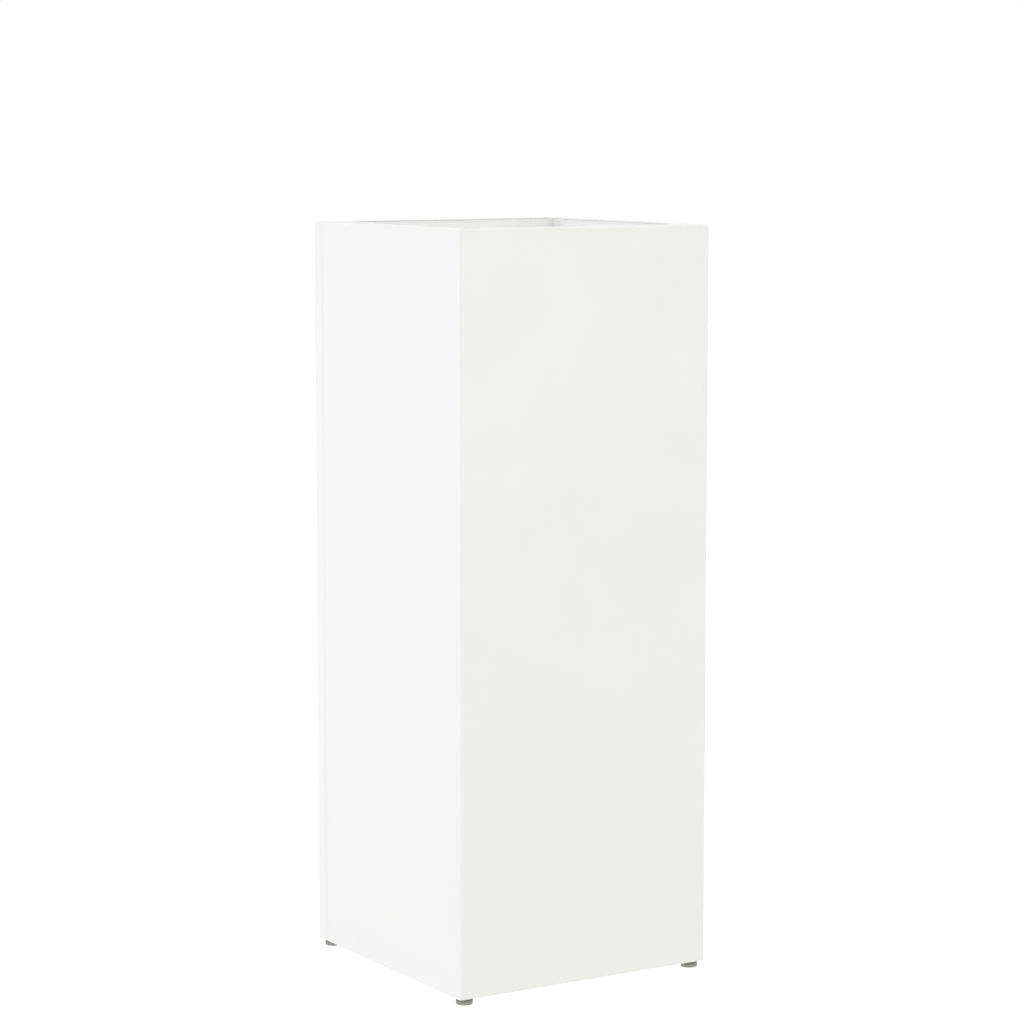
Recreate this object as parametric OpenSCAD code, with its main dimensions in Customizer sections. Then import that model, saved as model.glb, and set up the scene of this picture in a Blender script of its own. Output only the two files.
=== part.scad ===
// Square-column umbrella stand in folded, powder-coated sheet steel.
// +Z is up, the front faces -Y, and the origin is on the floor under the middle of the column.
// Two folded sheets make the column: a wrap for the front and both sides, and a back panel
// whose narrow side flanges lap over a step pressed into the wrap's rear edges.

/* [Column] */
// Side of the square column, outside
column_w = 250; // [200:1:320]
// Overall height, from the floor to the rim
total_h = 650; // [450:5:800]
// Thickness of the sheet, with its coating
sheet_t = 1; // [0.8:0.1:1.5]
// Outside radius of the four upright bends
bend_r = 3; // [2.5:0.5:6]

/* [Rim] */
// Width of the flange that is folded inwards around the mouth
rim_w = 20; // [15:1:30]
// Slit left between two flange ends at a mitre
mitre_gap = 0.4; // [0.2:0.1:1]

/* [Back panel] */
// How far the back panel reaches round onto each side
lap_w = 15; // [12:1:25]
// Open joint between the wrap and the back panel
seam_gap = 0.4; // [0.2:0.1:1]
// Length of the slope that steps the wrap's rear edge inwards
step_len = 1.2; // [1:0.1:3]

/* [Base pan] */
// Height of the pan's upturned flanges
pan_flange_h = 15; // [10:1:30]
// Length of each upturned flange
pan_flange_len = 200; // [120:5:205]
// Length of each pressed stop that keeps the drip tray centred
stop_len = 30; // [16:1:60]
// Width of each stop
stop_w = 10; // [8:0.5:12]
// Height of the stops above the pan
stop_h = 4; // [2:0.5:5]

/* [Drip tray] */
// Side of the square tray, over its lip
tray_w = 204; // [150:1:205]
// Height of the tray
tray_h = 20; // [15:1:40]
// Width of the lip outside the tray's wall
tray_lip_w = 3; // [2:0.5:6]
// Thickness of the tray's walls and floor
tray_t = 1.6; // [1.2:0.1:3]
// Number of raised bars on the tray's floor
tray_bars = 7; // [3:2:11]

/* [Feet] */
// Height of the column's lower edge above the floor
foot_h = 6; // [5.5:0.1:12]
// Diameter of each foot's pad
pad_d = 14.4; // [13:0.1:17]
// Distance of each foot's centre from the two outer faces
foot_inset = 10; // [10:0.5:30]
// Diameter of the levelling stud
stud_d = 6; // [5:1:6]
// Length of the stud above its pad
stud_len = 15; // [12:1:20]

/* [Hidden] */
$fn = 48;
EPS = 0.01;

half_w = column_w / 2;
mouth_w = column_w - 2 * rim_w;
rim_z = total_h - sheet_t;

// Where the wrap's plain side walls end and the step and the inner strip run
seam_y = half_w - lap_w;
step_end_y = seam_y - seam_gap / 2;
step_start_y = step_end_y - step_len;
strip_end_y = half_w - sheet_t - bend_r;

// The pads stay clear of the column at rest, and the tray stays clear of the pan and its stops
pad_gap = 0.3;
pad_h = foot_h - pad_gap;
tray_gap = 0.3;
stop_gap = 1;
tray_z = foot_h + sheet_t + tray_gap;
tray_body_w = tray_w - 2 * tray_lip_w;
tray_corner_r = 8;
bar_w = 3;
bar_h = 1.5;
bar_margin = 12;

// The stud's round head sits in the pad, and its shank runs in a weld nut on the pan
head_d = 10;
head_h = 2.2;
head_z = 1.8;
bore_clearance = 0.05;
pan_hole_d = stud_d + 1;
nut_flats = 10;
nut_h = 5;
stud_chamfer = 0.8;
pad_chamfer = 0.6;

foot_xy = half_w - foot_inset;
FL = [-foot_xy, -foot_xy];
FR = [foot_xy, -foot_xy];
BL = [-foot_xy, foot_xy];
BR = [foot_xy, foot_xy];

// A square of side w about the origin with corners of radius r
module round_square(w, r) {
    square([w - 2 * r, w], center = true);
    square([w, w - 2 * r], center = true);
    for (sx = [-1, 1], sy = [-1, 1])
        translate([sx * (w / 2 - r), sy * (w / 2 - r)]) circle(r);
}

// The whole column's wall, seen from above
module wall_ring() {
    difference() {
        round_square(column_w, bend_r);
        round_square(column_w - 2 * sheet_t, bend_r - sheet_t);
    }
}

// The part of the plan behind (towards +Y of) the line at y
module behind(y) {
    translate([-column_w, y]) square([2 * column_w, column_w]);
}

// The wrap's rear edge on the left: a slope inwards by one thickness, then a straight strip
module stepped_edge() {
    polygon([
        [-half_w, step_start_y],
        [-half_w + sheet_t, step_end_y],
        [-half_w + sheet_t, strip_end_y],
        [-half_w + 2 * sheet_t, strip_end_y],
        [-half_w + 2 * sheet_t, step_end_y],
        [-half_w + sheet_t, step_start_y]
    ]);
}

// The rim flange all round, seen from above
module rim_ring() {
    difference() {
        round_square(column_w, bend_r);
        square(mouth_w, center = true);
    }
}

// The quarter of the plan behind both diagonals, moved back by shift
module back_quarter(shift) {
    translate([0, shift]) polygon([[0, 0], [-column_w, column_w], [column_w, column_w]]);
}

// The slit between two flange ends, from the mouth's corner to just short of the bend
module mitre_slit() {
    rotate(45) translate([mouth_w / sqrt(2) - mitre_gap, -mitre_gap / 2])
        square([(column_w - mouth_w) / sqrt(2) - bend_r, mitre_gap]);
}

module body_wrap() {
    color("#f1f1ef") {
        translate([0, 0, foot_h]) linear_extrude(total_h - foot_h) difference() {
            wall_ring();
            behind(step_start_y);
        }
        for (flip = [0, 1])
            mirror([flip, 0, 0]) translate([0, 0, foot_h]) linear_extrude(rim_z - foot_h)
                stepped_edge();
        translate([0, 0, rim_z]) linear_extrude(sheet_t) difference() {
            rim_ring();
            back_quarter(-mitre_gap / sqrt(2));
            for (flip = [0, 1])
                mirror([flip, 0]) translate([-half_w - EPS, step_end_y])
                    square([sheet_t + seam_gap / 2, column_w]);
            rotate(180) mitre_slit();
            rotate(-90) mitre_slit();
        }
    }
}

module back_panel() {
    color("#f1f1ef") {
        translate([0, 0, foot_h]) linear_extrude(total_h - foot_h) intersection() {
            wall_ring();
            behind(seam_y + seam_gap / 2);
        }
        translate([0, 0, rim_z]) linear_extrude(sheet_t) intersection() {
            rim_ring();
            back_quarter(mitre_gap / sqrt(2));
        }
    }
}

// One upturned flange of the pan, on the front edge
module pan_flange() {
    translate([-pan_flange_len / 2, -half_w + sheet_t, foot_h])
        cube([pan_flange_len, sheet_t, pan_flange_h]);
}

// A stop's outline, with its sides moved in by inset
module stop_outline(inset) {
    square([stop_len - stop_w, stop_w - 2 * inset], center = true);
    for (sx = [-1, 1])
        translate([sx * (stop_len - stop_w) / 2, 0]) circle(d = stop_w - 2 * inset);
}

module at_stop(z) {
    translate([0, -(tray_body_w + stop_w) / 2 - stop_gap, z]) children();
}

module base_pan() {
    color("#e9e9e6") difference() {
        union() {
            translate([0, 0, foot_h]) linear_extrude(sheet_t) difference() {
                round_square(column_w - 2 * sheet_t, bend_r);
                for (flip = [0, 1])
                    mirror([flip, 0]) translate([-half_w, step_start_y - sheet_t])
                        square([2 * sheet_t + seam_gap, column_w]);
            }
            for (turn = [0:3])
                rotate(90 * turn) {
                    pan_flange();
                    at_stop(foot_h) linear_extrude(sheet_t + stop_h) stop_outline(0);
                }
        }
        for (turn = [0:3])
            rotate(90 * turn) at_stop(foot_h - EPS) linear_extrude(stop_h + EPS) stop_outline(sheet_t);
        for (p = [FL, FR, BL, BR])
            translate([p[0], p[1], foot_h - EPS]) cylinder(d = pan_hole_d, h = sheet_t + 2 * EPS);
    }
}

module foot_nuts() {
    color("#b9bcbf")
        for (p = [FL, FR, BL, BR])
            translate([p[0], p[1], foot_h + sheet_t]) difference() {
                cylinder(d = nut_flats / cos(30), h = nut_h, $fn = 6);
                translate([0, 0, -EPS])
                    cylinder(r = stud_d / 2 + bore_clearance, h = nut_h + 2 * EPS);
            }
}

module drip_tray() {
    color("#d9dad8") translate([0, 0, tray_z]) {
        linear_extrude(tray_t) round_square(tray_body_w, tray_corner_r);
        linear_extrude(tray_h) difference() {
            round_square(tray_body_w, tray_corner_r);
            round_square(tray_body_w - 2 * tray_t, tray_corner_r - tray_t);
        }
        translate([0, 0, tray_h - tray_t]) linear_extrude(tray_t) difference() {
            round_square(tray_w, tray_corner_r + tray_lip_w);
            round_square(tray_body_w - 2 * tray_t, tray_corner_r - tray_t);
        }
        bar_len = tray_body_w - 2 * tray_t - 2 * bar_margin;
        bar_pitch = bar_len / (tray_bars - 1);
        for (i = [0:tray_bars - 1])
            translate([-bar_len / 2, -bar_len / 2 + i * bar_pitch - bar_w / 2, tray_t])
                cube([bar_len, bar_w, bar_h]);
    }
}

module foot_pad(p) {
    r = pad_d / 2;
    color("#96928a") translate([p[0], p[1], 0]) difference() {
        rotate_extrude() polygon([
            [0, 0], [r - pad_chamfer, 0], [r, pad_chamfer], [r, pad_h], [0, pad_h]
        ]);
        translate([0, 0, head_z]) cylinder(d = head_d, h = head_h);
        translate([0, 0, head_z]) cylinder(d = stud_d, h = pad_h);
    }
}

module foot_stud(p) {
    r = stud_d / 2;
    top = pad_h + stud_len;
    color("#b9bcbf") translate([p[0], p[1], 0]) {
        translate([0, 0, head_z]) cylinder(d = head_d, h = head_h);
        rotate_extrude() polygon([
            [0, head_z], [r, head_z], [r, top - stud_chamfer], [r - stud_chamfer, top], [0, top]
        ]);
    }
}

body_wrap();
back_panel();
base_pan();
foot_nuts();
drip_tray();
foot_pad(FL);  // foot_pad_front_left
foot_pad(FR);  // foot_pad_front_right
foot_pad(BL);  // foot_pad_back_left
foot_pad(BR);  // foot_pad_back_right
foot_stud(FL);  // foot_stud_front_left
foot_stud(FR);  // foot_stud_front_right
foot_stud(BL);  // foot_stud_back_left
foot_stud(BR);  // foot_stud_back_right
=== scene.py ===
import math

import bmesh
import bpy
from mathutils import Matrix, Vector


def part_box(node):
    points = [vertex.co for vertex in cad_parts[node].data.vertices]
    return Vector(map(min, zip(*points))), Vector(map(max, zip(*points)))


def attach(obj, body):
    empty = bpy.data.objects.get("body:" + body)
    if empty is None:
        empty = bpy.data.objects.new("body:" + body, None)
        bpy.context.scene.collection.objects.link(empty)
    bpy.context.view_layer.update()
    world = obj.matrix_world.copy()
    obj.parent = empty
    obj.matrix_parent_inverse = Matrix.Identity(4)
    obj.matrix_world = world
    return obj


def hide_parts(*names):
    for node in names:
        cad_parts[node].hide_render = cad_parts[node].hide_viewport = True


MM = 0.001

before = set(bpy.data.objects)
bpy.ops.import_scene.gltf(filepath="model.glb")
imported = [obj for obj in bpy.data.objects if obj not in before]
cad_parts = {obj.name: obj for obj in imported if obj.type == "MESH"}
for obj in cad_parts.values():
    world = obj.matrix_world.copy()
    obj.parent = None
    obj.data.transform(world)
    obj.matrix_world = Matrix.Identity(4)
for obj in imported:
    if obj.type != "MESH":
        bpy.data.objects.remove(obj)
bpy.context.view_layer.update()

# ---------------------------------------------------------------- sizes, read from the frame


def cad_points(node):
    """The corners of a CAD node's mesh."""
    return [v.co.copy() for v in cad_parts[node].data.vertices]


def at(value, level, tolerance=0.02 * MM):
    """True where a coordinate lies on a plane of the CAD model."""
    return abs(value - level) < tolerance


WRAP_LOW, WRAP_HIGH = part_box("body_wrap")
BACK_LOW, BACK_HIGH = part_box("back_panel")
PAN_LOW, PAN_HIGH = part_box("base_pan")
TRAY_LOW, TRAY_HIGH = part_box("drip_tray")
PAD_LOW, PAD_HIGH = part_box("foot_pad_front_left")
STUD_LOW, STUD_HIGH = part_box("foot_stud_front_left")
NUT_LOW, NUT_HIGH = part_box("foot_nuts")

HALF_W = WRAP_HIGH.x
RIM_Z = WRAP_HIGH.z
BASE_Z = WRAP_LOW.z
SHEET = PAN_LOW.x - WRAP_LOW.x
RIM_W = BACK_HIGH.y - BACK_LOW.y
MOUTH_HALF = HALF_W - RIM_W

# The upright bends start where the front face stops being flat
BEND_R = min(p.x for p in cad_points("body_wrap") if at(p.y, WRAP_LOW.y)) - WRAP_LOW.x
# The wrap's flat side ends at the step, and the back panel's flange starts behind the seam
STEP_Y = max(p.y for p in cad_points("body_wrap") if at(p.x, WRAP_LOW.x) and p.z < RIM_Z / 2)
LAP_Y = min(p.y for p in cad_points("back_panel") if at(p.x, BACK_LOW.x))
STEP_END_Y = max(p.y for p in cad_points("body_wrap") if at(p.x, WRAP_LOW.x))
STRIP_END_Y = max(p.y for p in cad_points("body_wrap") if p.z < RIM_Z / 2)
SEAM_GAP = LAP_Y - STEP_END_Y
MITRE_GAP = SEAM_GAP

FOOT_X = -(PAD_LOW.x + PAD_HIGH.x) / 2
FEET = {
    "front_left": (-FOOT_X, -FOOT_X),
    "front_right": (FOOT_X, -FOOT_X),
    "back_left": (-FOOT_X, FOOT_X),
    "back_right": (FOOT_X, FOOT_X),
}

# Roundings that the CAD model leaves square: the rim's bend, the coated edges of the sheet, the edge of the
# rim's flange above and below, and the pan's bends. The stops lean in, and their corners are soft
RIM_BEND_R = 2.0 * MM
COAT_R = 0.3 * MM
EDGE_TOP_R, EDGE_LOW_R = 0.7 * MM, 0.15 * MM
PAN_BEND_R = 2.0 * MM
STOP_LEAN, STOP_SOFT = 0.8 * MM, 0.8 * MM
# The coating nearly closes the seam at the surface
SEAM_WIDTH = 0.12 * MM

# ---------------------------------------------------------------- mesh helpers


def new_object(name, mesh):
    piece = bpy.data.objects.new(name, mesh)
    bpy.context.scene.collection.objects.link(piece)
    return piece


def mesh_from(name, points, faces):
    """A mesh from points and faces, with doubled points merged and the normals outward."""
    mesh = bpy.data.meshes.new(name)
    mesh.from_pydata([tuple(p) for p in points], [], faces)
    tidy(mesh)
    return mesh


def tidy(mesh, distance=0.002 * MM):
    bm = bmesh.new()
    bm.from_mesh(mesh)
    bmesh.ops.remove_doubles(bm, verts=bm.verts, dist=distance)
    bmesh.ops.dissolve_degenerate(bm, edges=bm.edges, dist=distance)
    bmesh.ops.recalc_face_normals(bm, faces=bm.faces)
    bm.to_mesh(mesh)
    bm.free()


def prism(name, outline, low, high, axis="z"):
    """A closed prism over an outline, upright, or with axis x along X and the outline in Y and Z."""
    count = len(outline)
    if axis == "z":
        points = [(u, v, low) for u, v in outline] + [(u, v, high) for u, v in outline]
    else:
        points = [(low, u, v) for u, v in outline] + [(high, u, v) for u, v in outline]
    faces = [tuple(range(count)), tuple(range(count, 2 * count))]
    for i in range(count):
        j = (i + 1) % count
        faces.append((i, j, count + j, count + i))
    return new_object(name, mesh_from(name, points, faces))


def lathe(name, profile, centre=(0, 0), steps=48):
    """A solid turned about an upright axis. The profile runs from the axis, outside, back to the axis."""
    points, faces = [], []
    for k in range(steps):
        angle = 2 * math.pi * k / steps
        for r, z in profile:
            points.append((centre[0] + r * math.cos(angle), centre[1] + r * math.sin(angle), z))
    rows = len(profile)
    for k in range(steps):
        a, b = k * rows, ((k + 1) % steps) * rows
        for i in range(rows - 1):
            faces.append((a + i, b + i, b + i + 1, a + i + 1))
    return new_object(name, mesh_from(name, points, faces))


def combine(piece, tool, operation):
    """Unites, cuts or intersects piece with tool, and removes the tool."""
    modifier = piece.modifiers.new("combine", "BOOLEAN")
    modifier.object = tool
    modifier.operation = operation
    modifier.solver = "EXACT"
    depsgraph = bpy.context.evaluated_depsgraph_get()
    made = bpy.data.meshes.new_from_object(piece.evaluated_get(depsgraph))
    piece.modifiers.clear()
    piece.data = made
    bpy.data.objects.remove(tool)
    tidy(made)
    return piece


def join(name, pieces):
    """One object from several separate solids."""
    bm = bmesh.new()
    for piece in pieces:
        bm.from_mesh(piece.data)
        bpy.data.objects.remove(piece)
    mesh = bpy.data.meshes.new(name)
    bm.to_mesh(mesh)
    bm.free()
    return new_object(name, mesh)


def arc(centre, radius, start, end, steps):
    """Points of an arc from start to end, in degrees."""
    angles = [math.radians(start + (end - start) * i / steps) for i in range(steps + 1)]
    return [(centre[0] + radius * math.cos(a), centre[1] + radius * math.sin(a)) for a in angles]


def lift(outline, z):
    """A plan outline's points at a height."""
    return [(x, y, z) for x, y in outline]


def round_square(half, radius, steps=10):
    """Plan points of a square with rounded corners."""
    reach = half - radius
    points = []
    for quarter, (sx, sy) in enumerate(((1, 1), (-1, 1), (-1, -1), (1, -1))):
        points += arc((sx * reach, sy * reach), radius, 90 * quarter, 90 * (quarter + 1), steps)
    return points


def slot_outline(length, width, steps=10):
    """Plan points of a slot along X with round ends, about the origin."""
    reach, radius = (length - width) / 2, width / 2
    return arc((reach, 0), radius, -90, 90, steps) + arc((-reach, 0), radius, 90, 270, steps)


def ring_faces(a, b, count):
    """The faces between two rings of points that start at a and b."""
    return [(a + j, a + (j + 1) % count, b + (j + 1) % count, b + j) for j in range(count)]


def loft(name, rings):
    """A closed solid through rings of equal length, with flat ends."""
    count = len(rings[0])
    points = [p for ring in rings for p in ring]
    last = (len(rings) - 1) * count
    faces = [tuple(range(count)), tuple(range(last, last + count))]
    for start in range(0, last, count):
        faces += ring_faces(start, start + count, count)
    return new_object(name, mesh_from(name, points, faces))


def finish_piece(piece, body, material, nodes, smooth_angle=35):
    """Smooth bends with crisp edges, the material, and the body and CAD nodes that it stands for."""
    for polygon in piece.data.polygons:
        polygon.use_smooth = True
    piece.data.set_sharp_from_angle(angle=math.radians(smooth_angle))
    weighted = piece.modifiers.new("weighted_normals", "WEIGHTED_NORMAL")
    weighted.keep_sharp = True
    weighted.weight = 100
    piece.data.materials.clear()
    piece.data.materials.append(material)
    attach(piece, body)
    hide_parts(*nodes)
    return piece


# ---------------------------------------------------------------- materials


class Nodes:
    """Short names for building a node tree."""

    def __init__(self, name):
        self.material = bpy.data.materials.new(name)
        self.material.use_nodes = True
        self.tree = self.material.node_tree
        self.shader = self.tree.nodes["Principled BSDF"]
        self.place = self.tree.nodes.new("ShaderNodeTexCoord").outputs["Object"]

    def link(self, source, target):
        self.tree.links.new(source, target)

    def noise(self, scale, detail=2.0, roughness=0.5, stretch=(1, 1, 1)):
        mapping = self.tree.nodes.new("ShaderNodeMapping")
        mapping.inputs["Scale"].default_value = stretch
        self.link(self.place, mapping.inputs["Vector"])
        texture = self.tree.nodes.new("ShaderNodeTexNoise")
        texture.inputs["Scale"].default_value = scale
        texture.inputs["Detail"].default_value = detail
        texture.inputs["Roughness"].default_value = roughness
        self.link(mapping.outputs["Vector"], texture.inputs["Vector"])
        return texture.outputs["Fac"]

    def coordinates(self):
        split = self.tree.nodes.new("ShaderNodeSeparateXYZ")
        self.link(self.place, split.inputs["Vector"])
        return split.outputs["X"], split.outputs["Y"], split.outputs["Z"]

    def math(self, operation, first, second=None):
        node = self.tree.nodes.new("ShaderNodeMath")
        node.operation = operation
        self.link(first, node.inputs[0])
        if second is not None:
            self.link(second, node.inputs[1])
        return node.outputs["Value"]

    def remap(self, value, low, high, to_low, to_high):
        node = self.tree.nodes.new("ShaderNodeMapRange")
        node.inputs["From Min"].default_value = low
        node.inputs["From Max"].default_value = high
        node.inputs["To Min"].default_value = to_low
        node.inputs["To Max"].default_value = to_high
        self.link(value, node.inputs["Value"])
        return node.outputs["Result"]

    def blend(self, factor, first, second):
        node = self.tree.nodes.new("ShaderNodeMix")
        node.data_type = "RGBA"
        self.link(factor, node.inputs["Factor"])
        for socket, colour in (("A", first), ("B", second)):
            target = next(s for s in node.inputs if s.name == socket and s.type == "RGBA")
            if isinstance(colour, tuple):
                target.default_value = (*colour, 1)
            else:
                self.link(colour, target)
        return next(s for s in node.outputs if s.type == "RGBA")

    def bump(self, height, distance, strength, below=None):
        node = self.tree.nodes.new("ShaderNodeBump")
        node.inputs["Distance"].default_value = distance
        node.inputs["Strength"].default_value = strength
        self.link(height, node.inputs["Height"])
        if below is not None:
            self.link(below, node.inputs["Normal"])
        return node.outputs["Normal"]


def powder_coat(name, light, dark, worn):
    """Satin powder coat: fine orange peel, a slow waviness of the sheet, and slightly uneven gloss and tone.
    The mouth's edge and the lower edge are faintly rubbed, and the inside has faint upright scuffs."""
    n = Nodes(name)
    x, y, z = n.coordinates()
    reach = n.math("MAXIMUM", n.math("ABSOLUTE", x), n.math("ABSOLUTE", y))
    top = n.remap(z, RIM_Z - 1.6 * MM, RIM_Z - 1.2 * MM, 0, 1)
    mouth = n.remap(reach, MOUTH_HALF + 0.4 * MM, MOUTH_HALF + 1.6 * MM, 1, 0)
    foot = n.remap(z, BASE_Z + 0.2 * MM, BASE_Z + 1.2 * MM, 1, 0)
    edges = n.math("MAXIMUM", n.math("MULTIPLY", top, mouth), foot)
    rubbed = n.math("MULTIPLY", edges, n.remap(n.noise(180, 3, 0.7), 0.48, 0.62, 0, 0.18))
    inside = n.remap(reach, HALF_W - 0.7 * SHEET, HALF_W - 0.5 * SHEET, 1, 0)
    streaks = n.remap(n.noise(1, 4, 0.65, (160, 160, 7)), 0.56, 0.80, 0, 0.2)
    scuffs = n.math("MULTIPLY", n.math("MULTIPLY", inside, streaks), n.remap(top, 0, 1, 1, 0))
    tone = n.remap(n.noise(9, 3), 0.35, 0.65, 0, 1)
    coat = n.blend(tone, light, dark)
    n.link(n.blend(n.math("MAXIMUM", rubbed, scuffs), coat, worn), n.shader.inputs["Base Color"])
    gloss = n.remap(n.noise(35, 4, 0.6), 0.3, 0.7, 0.36, 0.46)
    matt = n.math("MULTIPLY", scuffs, n.remap(tone, 0, 1, 0.3, 0.4))
    n.link(n.math("ADD", gloss, matt), n.shader.inputs["Roughness"])
    wave = n.bump(n.noise(11, 1), 0.6 * MM, 0.12)
    peel = n.bump(n.noise(620, 2, 0.4), 0.05 * MM, 0.35, wave)
    n.link(peel, n.shader.inputs["Normal"])
    n.shader.inputs["Specular IOR Level"].default_value = 0.45
    return n.material


def zinc(name):
    """Bright zinc plating, faintly mottled."""
    n = Nodes(name)
    tone = n.remap(n.noise(420, 3, 0.6), 0.3, 0.7, 0, 1)
    n.link(n.blend(tone, (0.62, 0.64, 0.66), (0.74, 0.74, 0.70)), n.shader.inputs["Base Color"])
    n.link(n.remap(n.noise(900, 3), 0.3, 0.7, 0.22, 0.42), n.shader.inputs["Roughness"])
    n.link(n.bump(n.noise(2500, 2), 0.02 * MM, 0.4), n.shader.inputs["Normal"])
    n.shader.inputs["Metallic"].default_value = 1.0
    return n.material


def moulded(name, light, dark, rough, grain):
    """Moulded plastic with a fine spark-eroded grain."""
    n = Nodes(name)
    tone = n.remap(n.noise(60, 4, 0.6), 0.35, 0.65, 0, 1)
    n.link(n.blend(tone, light, dark), n.shader.inputs["Base Color"])
    n.link(n.remap(n.noise(300, 3), 0.3, 0.7, rough - 0.07, rough + 0.07), n.shader.inputs["Roughness"])
    n.link(n.bump(n.noise(grain, 2, 0.6), 0.04 * MM, 0.5), n.shader.inputs["Normal"])
    return n.material


def foot_plastic(name, light, dark, shade):
    """The feet's warm grey plastic, with painted shade: darker towards the top, as if in the shadow under the
    body's edge.
    """
    n = Nodes(name)
    z = n.coordinates()[2]
    tone = n.remap(n.noise(90, 4, 0.6), 0.35, 0.65, 0, 1)
    # Painted shade: over the pad's top the colour blends towards the shade colour, standing in for the body's
    # shadow
    height = n.remap(z, 2.2 * MM, 4.3 * MM, 0, 1)
    painted_shade_mask = n.math("ADD", height, n.remap(n.noise(500, 3), 0.3, 0.7, -0.08, 0.08))
    n.link(n.blend(painted_shade_mask, n.blend(tone, light, dark), shade), n.shader.inputs["Base Color"])
    n.link(n.remap(n.noise(300, 3), 0.3, 0.7, 0.48, 0.62), n.shader.inputs["Roughness"])
    n.link(n.bump(n.noise(1800, 2, 0.6), 0.04 * MM, 0.5), n.shader.inputs["Normal"])
    return n.material


WHITE = powder_coat("white_powder_coat", (0.748, 0.750, 0.746), (0.740, 0.742, 0.738), (0.56, 0.56, 0.55))
ZINC = zinc("zinc_plating")
# The pads' last colour is painted shade for their tops, under the body's edge
FOOT_GREY = foot_plastic("foot_plastic", (0.270, 0.257, 0.226), (0.245, 0.233, 0.206), (0.115, 0.110, 0.100))
TRAY_GREY = moulded("tray_plastic", (0.690, 0.690, 0.680), (0.665, 0.665, 0.655), 0.48, 1400)

# ---------------------------------------------------------------- column


def sheet_profile():
    """The sheet's section, as (distance in from the outer face, height): wall, rim bend and flange."""
    top, inner = RIM_Z - RIM_BEND_R, RIM_BEND_R - SHEET
    section = arc((COAT_R, BASE_Z + COAT_R), COAT_R, 270, 180, 3)
    section += arc((RIM_BEND_R, top), RIM_BEND_R, 180, 90, 7)
    section += arc((RIM_W - EDGE_TOP_R, RIM_Z - EDGE_TOP_R), EDGE_TOP_R, 90, 0, 5)
    section += arc((RIM_W - EDGE_LOW_R, RIM_Z - SHEET + EDGE_LOW_R), EDGE_LOW_R, 0, -90, 2)
    section += arc((RIM_BEND_R, top), inner, 90, 180, 5)
    section += arc((SHEET - COAT_R, BASE_Z + COAT_R), COAT_R, 0, -90, 3)
    return section


def column_ring():
    """The whole column as one folded ring, before it is parted into the wrap and the back panel."""
    rings = [lift(round_square(HALF_W - d, max(BEND_R - d, 0)), z) for d, z in sheet_profile()]
    count = len(rings[0])
    points = [p for ring in rings for p in ring]
    faces = []
    for start in range(0, len(points), count):
        faces += ring_faces(start, (start + count) % len(points), count)
    return new_object("column_ring", mesh_from("column_ring", points, faces))


# Cutting tools reach beyond the column to these, and the rim's bend and flange lie above FLANGE_ZONE
FAR = 2 * HALF_W
ABOVE = 2 * RIM_Z
FLANGE_ZONE = RIM_Z - RIM_BEND_R - 0.5 * MM


def back_quarter(shift):
    """The quarter of the plan behind both diagonals, moved back by shift."""
    return [(0, shift), (FAR, FAR + shift), (-FAR, FAR + shift)]


def mirrored(outline, side):
    """The outline for the left side (1) or the right side (-1)."""
    return [(side * x, y) for x, y in outline]


def step_outline(side):
    """The wrap's rear edge: a slope inwards by one thickness, then a straight strip behind the lap."""
    outline = [
        (-HALF_W, STEP_Y - SHEET),
        (-HALF_W, STEP_Y),
        (-HALF_W + SHEET, STEP_END_Y),
        (-HALF_W + SHEET, STRIP_END_Y),
        (-HALF_W + 2 * SHEET, STRIP_END_Y),
        (-HALF_W + 2 * SHEET, STEP_END_Y),
        (-HALF_W + SHEET, STEP_Y),
        (-HALF_W + SHEET, STEP_Y - SHEET),
    ]
    return mirrored(outline, side)


def mitre_slit(angle):
    """The outline of the open slit between two flange ends, from the mouth's corner outwards."""
    start = MOUTH_HALF * math.sqrt(2) - 2 * MM
    end = HALF_W * math.sqrt(2) - BEND_R - MITRE_GAP
    half = MITRE_GAP / 2
    turn = Matrix.Rotation(math.radians(angle), 2)
    return [tuple(turn @ Vector(p)) for p in ((start, -half), (end, -half), (end, half), (start, half))]


def make_wrap():
    """The front and both sides, folded from one sheet."""
    wrap = column_ring()
    wrap.name = "wrap_sheet"
    behind = [(-FAR, STEP_Y), (FAR, STEP_Y), (FAR, FAR), (-FAR, FAR)]
    combine(wrap, prism("cut", behind, 0, FLANGE_ZONE), "DIFFERENCE")
    quarter = back_quarter(-MITRE_GAP / math.sqrt(2))
    combine(wrap, prism("cut", quarter, FLANGE_ZONE - MM, ABOVE), "DIFFERENCE")
    edge = -HALF_W + SHEET + SEAM_GAP / 2
    notch = [(-FAR, STEP_Y), (edge, STEP_Y), (edge, FAR), (-FAR, FAR)]
    for side in (1, -1):
        combine(wrap, prism("cut", mirrored(notch, side), FLANGE_ZONE - MM, ABOVE), "DIFFERENCE")
        combine(wrap, prism("step", step_outline(side), BASE_Z, FLANGE_ZONE), "UNION")
    for angle in (225, 315):
        combine(wrap, prism("slit", mitre_slit(angle), FLANGE_ZONE, ABOVE), "DIFFERENCE")
    return finish_piece(wrap, "column", WHITE, ["body_wrap"])


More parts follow.
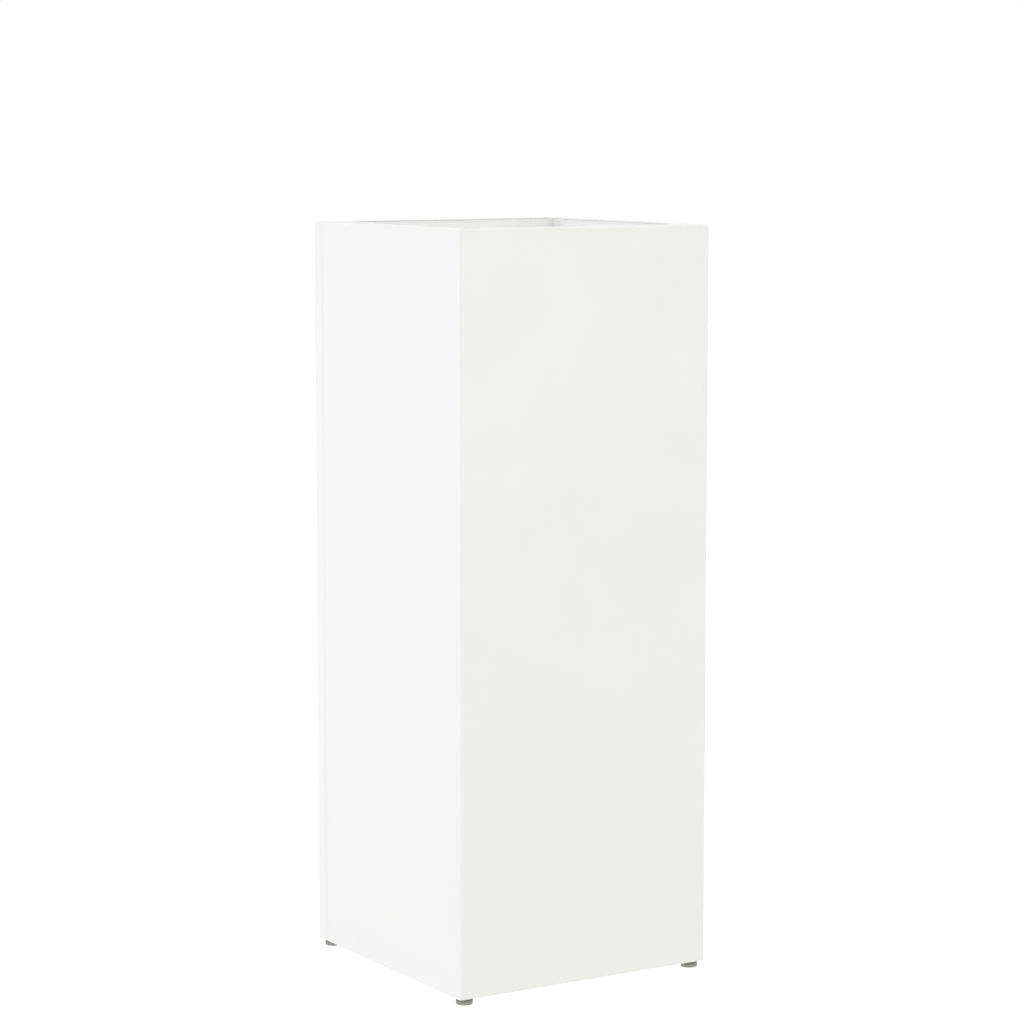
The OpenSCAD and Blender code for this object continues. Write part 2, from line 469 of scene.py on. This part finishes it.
def make_back():
    """The back panel. Its side flanges end on the slope of the wrap's step."""
    back = column_ring()
    back.name = "back_sheet"
    behind = [(-FAR, 0), (FAR, 0), (FAR, FAR), (-FAR, FAR)]
    combine(back, prism("keep", behind, 0, ABOVE), "INTERSECT")
    lean = (STEP_END_Y - STEP_Y) / SHEET
    start = STEP_Y + SEAM_WIDTH
    for side in (1, -1):
        for slope, low, high in ((lean, 0, FLANGE_ZONE), (0, FLANGE_ZONE, ABOVE)):
            front = [(-HALF_W - MM, -MM), (-HALF_W + 2 * SHEET, -MM)]
            front += [(-HALF_W + 2 * SHEET, start + 2 * SHEET * slope)]
            front += [(-HALF_W - MM, start - MM * slope)]
            combine(back, prism("cut", mirrored(front, side), low, high), "DIFFERENCE")
    inner, shift = -HALF_W + SHEET, MITRE_GAP / math.sqrt(2)
    quarter = [(inner, 0), (0, 0), (0, shift), (inner, -inner + shift)]
    for side in (1, -1):
        combine(back, prism("cut", mirrored(quarter, side), FLANGE_ZONE, ABOVE), "DIFFERENCE")
    return finish_piece(back, "column", WHITE, ["back_panel"])


# ---------------------------------------------------------------- base pan


def bent_lip(name, length, rise, bend):
    """A lip bent up from the edge of a plate, along X. It starts at Y 0 and bends towards -Y."""
    root = 1.5 * MM
    section = [(root, 0)]
    section += [(-y, z) for y, z in arc((0, bend), bend, 270, 360, 6)]
    section += [(-bend, rise), (SHEET - bend, rise)]
    section += [(-y, z) for y, z in arc((0, bend), bend - SHEET, 360, 270, 5)]
    section += [(root, SHEET)]
    return prism(name, section, -length / 2, length / 2, axis="x")


def pressed_stop(length, width, rise, lean, soft):
    """A pressed stop: a flare at its foot, leaning sides and a rounded top, about the origin."""
    profile = [(-soft, -0.2 * MM), (-soft, 0), (-soft * 0.45, soft * 0.12), (0.1 * MM, soft * 0.5)]
    profile += [(lean - soft * 0.25, rise - soft), (lean + soft * 0.1, rise - soft * 0.35)]
    profile += [(lean + soft * 0.5, rise - soft * 0.08), (lean + soft, rise)]
    rings = [lift(slot_outline(length - 2 * inset, width - 2 * inset), z) for inset, z in profile]
    return loft("stop", rings)


def pan_outline(edge, flat, lip_half):
    """The pan's floor: its bends start at flat, and its corners reach the column's walls between the lips."""
    outline = []
    for quarter in range(4):
        turn = Matrix.Rotation(math.radians(90 * quarter), 2)
        corner = [(-lip_half, -flat), (lip_half, -flat), (lip_half, -edge)]
        corner += arc((edge - BEND_R, BEND_R - edge), BEND_R, 270, 360, 6)
        corner += [(edge, -lip_half)]
        outline += [tuple(turn @ Vector(p)) for p in corner]
    return outline


def make_pan():
    """The base: a plate with four bent lips, four pressed stops and holes for the studs."""
    edge = HALF_W - SHEET
    floor_top = BASE_Z + SHEET
    pan_points = cad_points("base_pan")
    lip_half = max(p.x for p in pan_points if at(p.y, PAN_LOW.y) and p.z > PAN_LOW.z + 2 * SHEET)
    stop_points = [p for p in pan_points if abs(p.x) < MOUTH_HALF / 2 and PAN_LOW.y + 3 * MM < p.y < 0
                   and p.z > floor_top - 0.1 * MM]
    stop_top = max(p.z for p in stop_points)
    half_len = max(p.x for p in stop_points)
    near, far = min(p.y for p in stop_points), max(p.y for p in stop_points)
    flat = edge - PAN_BEND_R
    pan = prism("pan", pan_outline(edge, flat, lip_half), BASE_Z, floor_top)
    for quarter in range(4):
        turn = Matrix.Rotation(math.radians(90 * quarter), 4, "Z")
        lip = bent_lip("lip", 2 * lip_half, PAN_HIGH.z - BASE_Z, PAN_BEND_R)
        lip.data.transform(turn @ Matrix.Translation((0, -flat, BASE_Z)))
        combine(pan, lip, "UNION")
        for inset, z, operation in ((0, floor_top, "UNION"), (SHEET, BASE_Z, "DIFFERENCE")):
            size = 2 * (half_len - inset), far - near - 2 * inset, stop_top - floor_top
            stop = pressed_stop(*size, STOP_LEAN, STOP_SOFT)
            stop.data.transform(turn @ Matrix.Translation((0, (near + far) / 2, z)))
            combine(pan, stop, operation)
    clear = -HALF_W + 2 * SHEET + SEAM_GAP
    notch = [(-FAR, STEP_Y - SHEET), (clear, STEP_Y - SHEET), (clear, FAR), (-FAR, FAR)]
    for side in (1, -1):
        combine(pan, prism("cut", mirrored(notch, side), BASE_Z - MM, BASE_Z + 2 * SHEET), "DIFFERENCE")
    hole_r = SHANK_R + 0.5 * MM
    for centre in FEET.values():
        circle = arc(centre, hole_r, 0, 360, 40)[:-1]
        combine(pan, prism("hole", circle, BASE_Z - MM, BASE_Z + 2 * SHEET), "DIFFERENCE")
    return finish_piece(pan, "column", WHITE, ["base_pan"])


# ---------------------------------------------------------------- feet


def radius_at(node, low, high):
    """The largest distance of a node's points from its own upright axis, between two heights."""
    x0, y0 = FEET["front_left"]
    return max(math.hypot(p.x - x0, p.y - y0) for p in cad_points(node) if low <= p.z <= high)


PAD_R = (PAD_HIGH.x - PAD_LOW.x) / 2
HEAD_R = (STUD_HIGH.x - STUD_LOW.x) / 2
HEAD_LOW = STUD_LOW.z
HEAD_HIGH = max(p.z for p in cad_points("foot_stud_front_left")
                if math.hypot(p.x + FOOT_X, p.y + FOOT_X) > HEAD_R - 0.1 * MM)
SHANK_R = radius_at("foot_stud_front_left", HEAD_HIGH + MM, STUD_HIGH.z)
THREAD_PITCH, THREAD_DEPTH = 1.0 * MM, 0.55 * MM
THREAD_CHAMFER = 0.8 * MM
THREAD_STEPS = 28
# One turn of the thread, as (height in pitches, height above the root in depths)
THREAD_SECTION = ((0.0, 0.0), (0.12, 0.0), (0.5, 1.0), (0.62, 1.0))


def make_pad(place):
    """A turned pad with rounded edges and a dished sole with a rim to stand on. It holds the stud's head."""
    top, r = PAD_HIGH.z, PAD_R
    edge_r, sole_r, dish = 0.7 * MM, 0.6 * MM, 0.4 * MM
    profile = [(0, dish), (r * 0.62, dish), (r * 0.68, 0), (r - sole_r - 0.1 * MM, 0)]
    profile += arc((r - sole_r, sole_r), sole_r, 290, 360, 5)
    profile += [(r, top - edge_r)]
    profile += arc((r - edge_r, top - edge_r), edge_r, 15, 90, 5)
    profile += [(SHANK_R + 0.5 * MM, top), (SHANK_R, top - 0.4 * MM)]
    profile += [(SHANK_R, HEAD_HIGH), (HEAD_R, HEAD_HIGH), (HEAD_R, HEAD_LOW), (0, HEAD_LOW)]
    pad = lathe("pad_" + place, profile, FEET[place], 64)
    return finish_piece(pad, "foot_" + place, FOOT_GREY, ["foot_pad_" + place])


def threaded_rod(centre, low, high):
    """A rod with a real helical thread, which fades out over a chamfer at each end."""
    root_r = SHANK_R - THREAD_DEPTH
    last = int((high - low) / THREAD_PITCH * THREAD_STEPS) + 2 * THREAD_STEPS
    points, faces = [], []
    for k in range(last + 1):
        angle = 2 * math.pi * k / THREAD_STEPS
        start = low - THREAD_PITCH + THREAD_PITCH * k / THREAD_STEPS
        for along, out in THREAD_SECTION:
            z = start + along * THREAD_PITCH
            room = min(high - z, z - low) / THREAD_CHAMFER
            r = root_r + max(min(out, room), 0) * THREAD_DEPTH
            z = min(max(z, low), high)
            points.append((centre[0] + r * math.cos(angle), centre[1] + r * math.sin(angle), z))
    rows = len(THREAD_SECTION)
    for k in range(last):
        a, b = k * rows, (k + 1) * rows
        for i in range(rows - 1):
            faces.append((a + i, b + i, b + i + 1, a + i + 1))
        if k + THREAD_STEPS < last:
            turn = THREAD_STEPS * rows
            faces.append((a + rows - 1, b + rows - 1, b + turn, a + turn))
    mesh = bpy.data.meshes.new("thread")
    mesh.from_pydata(points, [], faces)
    bm = bmesh.new()
    bm.from_mesh(mesh)
    bmesh.ops.remove_doubles(bm, verts=bm.verts, dist=0.004 * MM)
    bmesh.ops.delete(bm, geom=[f for f in bm.faces if f.calc_area() < 1e-13], context="FACES")
    bmesh.ops.holes_fill(bm, edges=[e for e in bm.edges if e.is_boundary], sides=0)
    bmesh.ops.recalc_face_normals(bm, faces=bm.faces)
    bm.to_mesh(mesh)
    bm.free()
    return new_object("thread", mesh)


def make_stud(place):
    """The levelling stud: a round head in the pad, and a threaded shank."""
    low = PAD_HIGH.z
    root_r = SHANK_R - THREAD_DEPTH
    profile = [(0, HEAD_LOW), (HEAD_R - 0.3 * MM, HEAD_LOW), (HEAD_R, HEAD_LOW + 0.3 * MM)]
    profile += [(HEAD_R, HEAD_HIGH), (SHANK_R, HEAD_HIGH), (SHANK_R, low - 0.2 * MM)]
    profile += [(root_r, low), (root_r, low + 0.5 * MM), (0, low + 0.5 * MM)]
    head = lathe("head", profile, FEET[place], 48)
    stud = join("stud_" + place, [head, threaded_rod(FEET[place], low, STUD_HIGH.z)])
    return finish_piece(stud, "foot_" + place, ZINC, ["foot_stud_" + place])


def make_nut(centre):
    """A hexagonal weld nut with chamfered corners and a countersunk bore."""
    low, high = NUT_LOW.z, NUT_HIGH.z
    flats = NUT_HIGH.y - FOOT_X
    corner = flats / math.cos(math.radians(30))
    bore, sink = SHANK_R + 0.05 * MM, 0.5 * MM
    nut = prism("nut", arc(centre, corner, 0, 360, 6)[:-1], low, high)
    outside, slope = corner + MM, (corner - flats) * 0.6
    turned = [(0, low - MM), (outside, low - MM), (outside, high - slope)]
    turned += [(flats * 0.96, high + 0.02 * MM), (0, high + 0.02 * MM)]
    combine(nut, lathe("turned", turned, centre, 60), "INTERSECT")
    hole = [(0, low - MM), (bore, low - MM), (bore, high - sink)]
    hole += [(bore + sink * 1.3, high + 0.1 * MM), (0, high + 0.1 * MM)]
    return combine(nut, lathe("hole", hole, centre, 48), "DIFFERENCE")


def make_nuts():
    """The four weld nuts, as one piece."""
    piece = join("weld_nuts", [make_nut(centre) for centre in FEET.values()])
    return finish_piece(piece, "column", ZINC, ["foot_nuts"])


# ---------------------------------------------------------------- drip tray


TRAY_WALL, TRAY_DRAFT = 1.6 * MM, 1.5 * MM
TRAY_CORNER_R, TRAY_FOOT_R, LIP_R = 8 * MM, 2.5 * MM, 0.7 * MM


def tray_profile(low, high, half, body_half):
    """The tray's section, as (distance from the middle, height): up outside, round the lip, down inside."""
    foot = body_half - TRAY_DRAFT - TRAY_FOOT_R
    inner_foot = foot - TRAY_WALL
    section = [(foot, low)]
    section += arc((foot, low + TRAY_FOOT_R), TRAY_FOOT_R, 290, 350, 5)
    section += [(body_half - 0.4 * MM, high - 3.4 * MM), (body_half + 0.2 * MM, high - 2.0 * MM)]
    section += [(half - 1.2 * MM, high - 1.9 * MM), (half - 1.2 * MM, high - 3.2 * MM)]
    section += [(half - 0.9 * MM, high - 3.6 * MM), (half - 0.3 * MM, high - 3.6 * MM)]
    section += [(half, high - 3.2 * MM)]
    section += arc((half - LIP_R, high - LIP_R), LIP_R, 0, 90, 4)
    inner = body_half - TRAY_WALL
    section += [(inner + 1.2 * MM, high), (inner + 0.4 * MM, high - 0.3 * MM), (inner, high - 1.0 * MM)]
    section += arc((inner_foot, low + TRAY_WALL + TRAY_FOOT_R), TRAY_FOOT_R, 0, -90, 5)
    return section


def make_bar(length, width, y, floor, top):
    """A raised bar along X with round ends and a softened top."""
    profile = ((0, floor - 0.3 * MM), (0, floor + 0.6 * MM), (0.15 * MM, top - 0.4 * MM), (0.6 * MM, top))
    rings = [lift(slot_outline(length - 2 * inset, width - 2 * inset, 8), z) for inset, z in profile]
    bar = loft("bar", rings)
    bar.data.transform(Matrix.Translation((0, y, 0)))
    return bar


def make_tray():
    """A moulded tray: drafted walls, a rolled lip, rounded corners and raised bars on its floor."""
    low, high = TRAY_LOW.z, TRAY_HIGH.z
    points = cad_points("drip_tray")
    body_half = max(p.x for p in points if at(p.z, low))
    rings = []
    for reach, z in tray_profile(low, high, TRAY_HIGH.x, body_half):
        corner_r = max(TRAY_CORNER_R - (body_half - reach), 2 * MM)
        rings.append(lift(round_square(reach, corner_r, 8), z))
    tray = loft("tray", rings)
    floor = low + TRAY_WALL
    bar_points = [p for p in points if floor + MM < p.z < low + 4 * MM and abs(p.x) < body_half - 5 * MM]
    bar_len = 2 * max(p.x for p in bar_points)
    bar_top = max(p.z for p in bar_points)
    edges = sorted({round(p.y / MM, 3) * MM for p in bar_points})
    for near, far in zip(edges[0::2], edges[1::2]):
        combine(tray, make_bar(bar_len, far - near, (near + far) / 2, floor, bar_top), "UNION")
    return finish_piece(tray, "tray", TRAY_GREY, ["drip_tray"])


make_wrap()
make_back()
make_pan()
make_nuts()
make_tray()
for foot in FEET:
    make_pad(foot)
    make_stud(foot)

# ---------------------------------------------------------------- studio

scene = bpy.context.scene
scene.view_settings.view_transform = "Standard"

# The floor lies this far below the pads, just beyond a levelling foot's travel of 6 mm
FLOOR_DROP = 6.2 * MM
FLOOR_HALF = 40


def make_camera():
    """Looks across the front left corner, from just above the rim's height."""
    data = bpy.data.cameras.new("camera")
    data.lens = 112.66
    data.sensor_width = 36
    camera = bpy.data.objects.new("camera", data)
    scene.collection.objects.link(camera)
    camera.location = (-1.4627, -2.3709, 0.7403)
    turn, tilt = math.radians(31.730), math.radians(7.017)
    direction = Vector((math.sin(turn) * math.cos(tilt), math.cos(turn) * math.cos(tilt), -math.sin(tilt)))
    camera.rotation_mode = "QUATERNION"
    camera.rotation_quaternion = direction.to_track_quat("-Z", "Y")
    scene.camera = camera


def make_floor():
    """A pale floor with light under it, just below the feet's lowest reach. It is clear from below."""
    mesh = bpy.data.meshes.new("floor")
    far = FLOOR_HALF
    corners = [(-far, -far), (far, -far), (far, far), (-far, far)]
    mesh.from_pydata(lift(corners, -FLOOR_DROP), [], [(0, 1, 2, 3)])
    floor = new_object("floor", mesh)
    n = Nodes("pale_floor")
    n.shader.inputs["Base Color"].default_value = (0.25, 0.25, 0.25, 1)
    n.shader.inputs["Roughness"].default_value = 0.9
    n.shader.inputs["Emission Color"].default_value = (1, 1, 1, 1)
    n.shader.inputs["Emission Strength"].default_value = 0.88
    clear = n.tree.nodes.new("ShaderNodeBsdfTransparent")
    side = n.tree.nodes.new("ShaderNodeNewGeometry")
    mix = n.tree.nodes.new("ShaderNodeMixShader")
    n.link(side.outputs["Backfacing"], mix.inputs[0])
    n.link(n.shader.outputs[0], mix.inputs[1])
    n.link(clear.outputs[0], mix.inputs[2])
    n.link(mix.outputs[0], n.tree.nodes["Material Output"].inputs["Surface"])
    floor.data.materials.append(n.material)


def make_world():
    """White at the horizon and slightly dimmer overhead."""
    world = bpy.data.worlds.new("studio")
    world.use_nodes = True
    tree = world.node_tree
    place = tree.nodes.new("ShaderNodeTexCoord")
    split = tree.nodes.new("ShaderNodeSeparateXYZ")
    fade = tree.nodes.new("ShaderNodeMapRange")
    for socket, value in (("From Min", 0.08), ("From Max", 0.5), ("To Min", 1.0), ("To Max", 0.72)):
        fade.inputs[socket].default_value = value
    tree.links.new(place.outputs["Generated"], split.inputs["Vector"])
    tree.links.new(split.outputs["Z"], fade.inputs["Value"])
    tree.links.new(fade.outputs["Result"], tree.nodes["Background"].inputs["Strength"])
    tree.nodes["Background"].inputs["Color"].default_value = (1, 1, 1, 1)
    scene.world = world


def make_area(name, place, target, size, power, colour):
    """A soft rectangular light that the camera doesn't see."""
    data = bpy.data.lights.new(name, "AREA")
    data.shape = "RECTANGLE"
    data.size, data.size_y = size
    data.energy = power
    data.color = colour
    light = bpy.data.objects.new(name, data)
    scene.collection.objects.link(light)
    light.location = place
    light.rotation_mode = "QUATERNION"
    light.rotation_quaternion = (Vector(target) - Vector(place)).to_track_quat("-Z", "Y")
    light.visible_camera = False


make_camera()
make_floor()
make_world()
MIDDLE = (0, 0, RIM_Z / 2)
make_area("key", (-2.8, 0.15, 0.60), MIDDLE, (1.6, 1.2), 15.2, (1, 1, 1))
make_area("front_fill", (0.67, -2.85, 0.30), MIDDLE, (1.6, 1.5), 13.2, (1.0, 1.03, 0.70))
make_area("overhead", (0, 0, 2.8), MIDDLE, (2.0, 2.0), 27, (1, 1, 1))
# Faces down just under the rim's flange, and fills the mouth from wall to wall
WELL_W = 2 * (HALF_W - SHEET)
make_area("well_fill", (0, 0, RIM_Z - 1.5 * SHEET), (0, 0, 0), (WELL_W, WELL_W), 0.22, (1, 1, 1))
